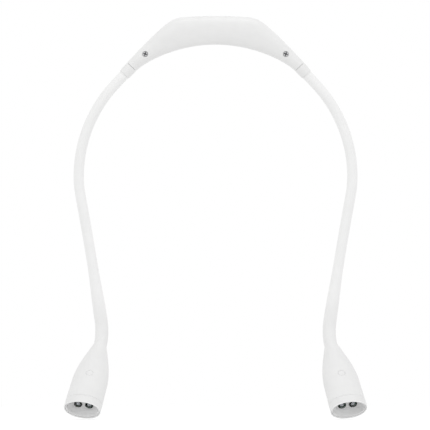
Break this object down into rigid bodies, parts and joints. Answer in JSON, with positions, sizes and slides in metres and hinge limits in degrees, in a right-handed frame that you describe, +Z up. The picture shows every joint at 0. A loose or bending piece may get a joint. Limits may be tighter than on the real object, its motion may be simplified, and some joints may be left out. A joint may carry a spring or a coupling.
{
  "type": "neck reading light",
  "caption": "White neck reading light: a curved battery housing worn behind the neck, bendable soft arms and flared lamp heads with recessed lights.",
  "frame": {"origin": "top of the housing's inner arch, in the middle of its depth, where the light rests on the neck", "axes": "+Z up through the middle of the housing, +X to the right seen from the front, the side with the screws; the front faces -Y"},
  "size_m": [0.2528, 0.0755, 0.3359],
  "materials": {
    "white_shell": "fine satin, moulded",
    "white_soft": "soft matt silicone",
    "white_bowl": "smooth, slightly glossy",
    "steel": "plain",
    "core_wire": "drawn wire",
    "dark_chrome": "polished, darkened",
    "clear_lens": "clear, polished",
    "board": "circuit board",
    "black_plastic": "moulded",
    "cell_wrap": "foil wrap"
  },
  "bodies": {
    "housing": {"front_shell": "white_shell", "rear_shell": "white_shell", "battery_cell": "cell_wrap", "charge_board": "board", "charge_socket": "steel", "charge_light": "clear_lens", "housing_screw_left": "steel", "housing_screw_right": "steel", "collar_left": "white_shell", "collar_right": "white_shell", "arm_anchor_left": "steel", "arm_anchor_right": "steel"},
    "arm_left_1": {"arm_sleeve_left_1": "white_soft", "arm_core_left_1": "core_wire"},
    "arm_left_2": {"arm_sleeve_left_2": "white_soft", "arm_core_left_2": "core_wire"},
    "arm_left_3": {"arm_sleeve_left_3": "white_soft", "arm_core_left_3": "core_wire"},
    "arm_left_4": {"arm_sleeve_left_4": "white_soft", "arm_core_left_4": "core_wire"},
    "arm_left_5": {"arm_sleeve_left_5": "white_soft", "arm_core_left_5": "core_wire"},
    "head_left": {"head_cover_left": "white_soft", "head_frame_left": "white_shell", "head_anchor_left": "steel", "bezel_left": "white_shell", "bowl_left": "white_bowl", "light_board_left": "board", "power_switch_left": "black_plastic", "switch_board_left": "board", "light_left_outer": "clear_lens", "light_left_inner": "clear_lens", "light_cup_left_outer": "dark_chrome", "light_cup_left_inner": "dark_chrome"},
    "button_left": {"power_button_left": "white_soft"},
    "arm_right_1": {"arm_sleeve_right_1": "white_soft", "arm_core_right_1": "core_wire"},
    "arm_right_2": {"arm_sleeve_right_2": "white_soft", "arm_core_right_2": "core_wire"},
    "arm_right_3": {"arm_sleeve_right_3": "white_soft", "arm_core_right_3": "core_wire"},
    "arm_right_4": {"arm_sleeve_right_4": "white_soft", "arm_core_right_4": "core_wire"},
    "arm_right_5": {"arm_sleeve_right_5": "white_soft", "arm_core_right_5": "core_wire"},
    "head_right": {"head_cover_right": "white_soft", "head_frame_right": "white_shell", "head_anchor_right": "steel", "bezel_right": "white_shell", "bowl_right": "white_bowl", "light_board_right": "board", "power_switch_right": "black_plastic", "switch_board_right": "board", "light_right_outer": "clear_lens", "light_right_inner": "clear_lens", "light_cup_right_outer": "dark_chrome", "light_cup_right_inner": "dark_chrome"},
    "button_right": {"power_button_right": "white_soft"}
  },
  "joints": [
    {"name": "arm_left_swing_1", "type": "hinge", "parent": "housing", "child": "arm_left_1", "pos_m": [-0.07662, 0, -0.02544], "axis": [0, 1, 0], "range_deg": [-25, 25]},
    {"name": "arm_left_reach_2", "type": "hinge", "parent": "arm_left_1", "child": "arm_left_2", "pos_m": [-0.10446, 0, -0.06415], "axis": [0.9128, 0, -0.4084], "range_deg": [-35, 35]},
    {"name": "arm_left_swing_3", "type": "hinge", "parent": "arm_left_2", "child": "arm_left_3", "pos_m": [-0.11423, 0, -0.11074], "axis": [0, 1, 0], "range_deg": [-35, 35]},
    {"name": "arm_left_reach_4", "type": "hinge", "parent": "arm_left_3", "child": "arm_left_4", "pos_m": [-0.10703, 0, -0.15811], "axis": [0.9854, 0, 0.1701], "range_deg": [-35, 35]},
    {"name": "arm_left_swing_5", "type": "hinge", "parent": "arm_left_4", "child": "arm_left_5", "pos_m": [-0.09931, 0, -0.20544], "axis": [0, 1, 0], "range_deg": [-35, 35]},
    {"name": "head_left_tilt", "type": "hinge", "parent": "arm_left_5", "child": "head_left", "pos_m": [-0.0963, -0.00816, -0.25094], "axis": [0.9803, -0.1418, -0.1376], "range_deg": [-30, 30]},
    {"name": "button_left_press", "type": "slide", "parent": "head_left", "child": "button_left", "axis": [0.0095, 0.7295, -0.6839], "range_m": [0, 0.0006], "stiffness_N_per_m": 1500, "springref_m": -0.0004},
    {"name": "arm_right_swing_1", "type": "hinge", "parent": "housing", "child": "arm_right_1", "pos_m": [0.07662, 0, -0.02544], "axis": [0, 1, 0], "range_deg": [-25, 25]},
    {"name": "arm_right_reach_2", "type": "hinge", "parent": "arm_right_1", "child": "arm_right_2", "pos_m": [0.10446, 0, -0.06415], "axis": [0.9128, 0, 0.4084], "range_deg": [-35, 35]},
    {"name": "arm_right_swing_3", "type": "hinge", "parent": "arm_right_2", "child": "arm_right_3", "pos_m": [0.11423, 0, -0.11074], "axis": [0, 1, 0], "range_deg": [-35, 35]},
    {"name": "arm_right_reach_4", "type": "hinge", "parent": "arm_right_3", "child": "arm_right_4", "pos_m": [0.10703, 0, -0.15811], "axis": [0.9854, 0, -0.1701], "range_deg": [-35, 35]},
    {"name": "arm_right_swing_5", "type": "hinge", "parent": "arm_right_4", "child": "arm_right_5", "pos_m": [0.09931, 0, -0.20544], "axis": [0, 1, 0], "range_deg": [-35, 35]},
    {"name": "head_right_tilt", "type": "hinge", "parent": "arm_right_5", "child": "head_right", "pos_m": [0.0963, -0.00816, -0.25094], "axis": [0.9803, 0.1418, 0.1376], "range_deg": [-30, 30]},
    {"name": "button_right_press", "type": "slide", "parent": "head_right", "child": "button_right", "axis": [-0.0095, 0.7295, -0.6839], "range_m": [0, 0.0006], "stiffness_N_per_m": 1500, "springref_m": -0.0004}
  ]
}
